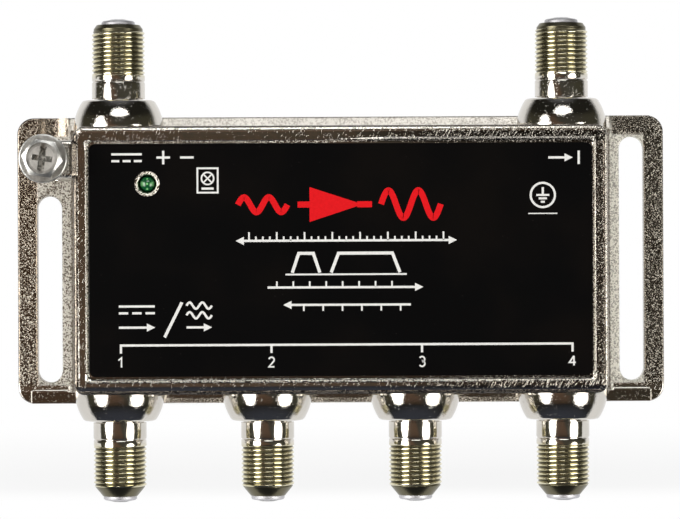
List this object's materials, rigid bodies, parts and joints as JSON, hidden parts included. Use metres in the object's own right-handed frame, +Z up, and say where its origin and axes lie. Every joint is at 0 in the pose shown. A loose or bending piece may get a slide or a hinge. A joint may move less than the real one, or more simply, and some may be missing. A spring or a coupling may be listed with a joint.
{
  "type": "coaxial distribution amplifier",
  "caption": "Die-cast coaxial signal amplifier with threaded ports above and below, slotted wall flange, recessed label, lamp and ground screw.",
  "frame": {"origin": "middle of the housing's back, on the plane that goes against the wall", "axes": "+X to the right of someone facing the front, +Y into the wall, +Z up; the front faces -Y"},
  "size_m": [0.118, 0.0271, 0.087],
  "materials": {
    "cast_nickel": "nickel-plated zinc casting, bright with a fine cast grain",
    "port_nickel": "turned brass with bright nickel plate",
    "cover_sheet": "tinned sheet, satin",
    "solder": "soft solder bead, bright and slightly wavy",
    "label_black": "black printed label, semi-gloss",
    "zinc_screw": "clear zinc plated steel",
    "zinc_washer": "clear zinc plated spring steel",
    "board_green": "green solder mask on glass epoxy",
    "lens_green": "tinted clear resin",
    "tinned_wire": "tinned",
    "nylon_black": "moulded nylon",
    "chip_black": "moulded epoxy",
    "can_aluminium": "drawn aluminium can",
    "ferrite": "sintered ferrite",
    "copper_wire": "enamelled copper",
    "ceramic_tube": "white ceramic with metal caps",
    "ceramic_tan": "sintered ceramic",
    "insulator_white": "moulded plastic",
    "contact_metal": "plated phosphor bronze"
  },
  "bodies": {
    "root": {"housing": "cast_nickel", "back_cover": "cover_sheet", "solder_seam": "solder", "front_label": "label_black", "circuit_board": "board_green", "board_screws": "zinc_screw", "led_lens": "lens_green", "led_leads": "tinned_wire", "led_spacer": "nylon_black", "amplifier_chips": "chip_black", "voltage_regulator": "chip_black", "electrolytic_capacitors": "can_aluminium", "choke_core": "ferrite", "choke_winding": "copper_wire", "splitter_cores": "ferrite", "splitter_windings": "copper_wire", "filter_coils": "copper_wire", "surge_arrester": "ceramic_tube", "shield_wall": "tinned_wire", "chip_capacitors": "ceramic_tan", "chip_resistors": "chip_black", "power_barrel": "port_nickel", "power_insulator": "insulator_white", "power_contact": "contact_metal", "input_barrel": "port_nickel", "input_insulator": "insulator_white", "input_contact": "contact_metal", "output_1_barrel": "port_nickel", "output_1_insulator": "insulator_white", "output_1_contact": "contact_metal", "output_2_barrel": "port_nickel", "output_2_insulator": "insulator_white", "output_2_contact": "contact_metal", "output_3_barrel": "port_nickel", "output_3_insulator": "insulator_white", "output_3_contact": "contact_metal", "output_4_barrel": "port_nickel", "output_4_insulator": "insulator_white", "output_4_contact": "contact_metal"},
    "washer": {"ground_lock_washer": "zinc_washer"},
    "screw": {"ground_screw": "zinc_screw"}
  },
  "joints": [
    {"name": "ground_screw_travel", "type": "slide", "parent": "root", "child": "washer", "axis": [0, -1, 0], "range_m": [-0.00278, 0.006]},
    {"name": "ground_screw_turn", "type": "hinge", "parent": "washer", "child": "screw", "pos_m": [-0.0524, -0.021, 0.01805], "axis": [0, -1, 0], "range_deg": [-1259.08, 2721.76]}
  ],
  "couplings": [
    {"joint": "ground_screw_turn", "follows": "ground_screw_travel", "rad_per_m": 7915.8}
  ]
}
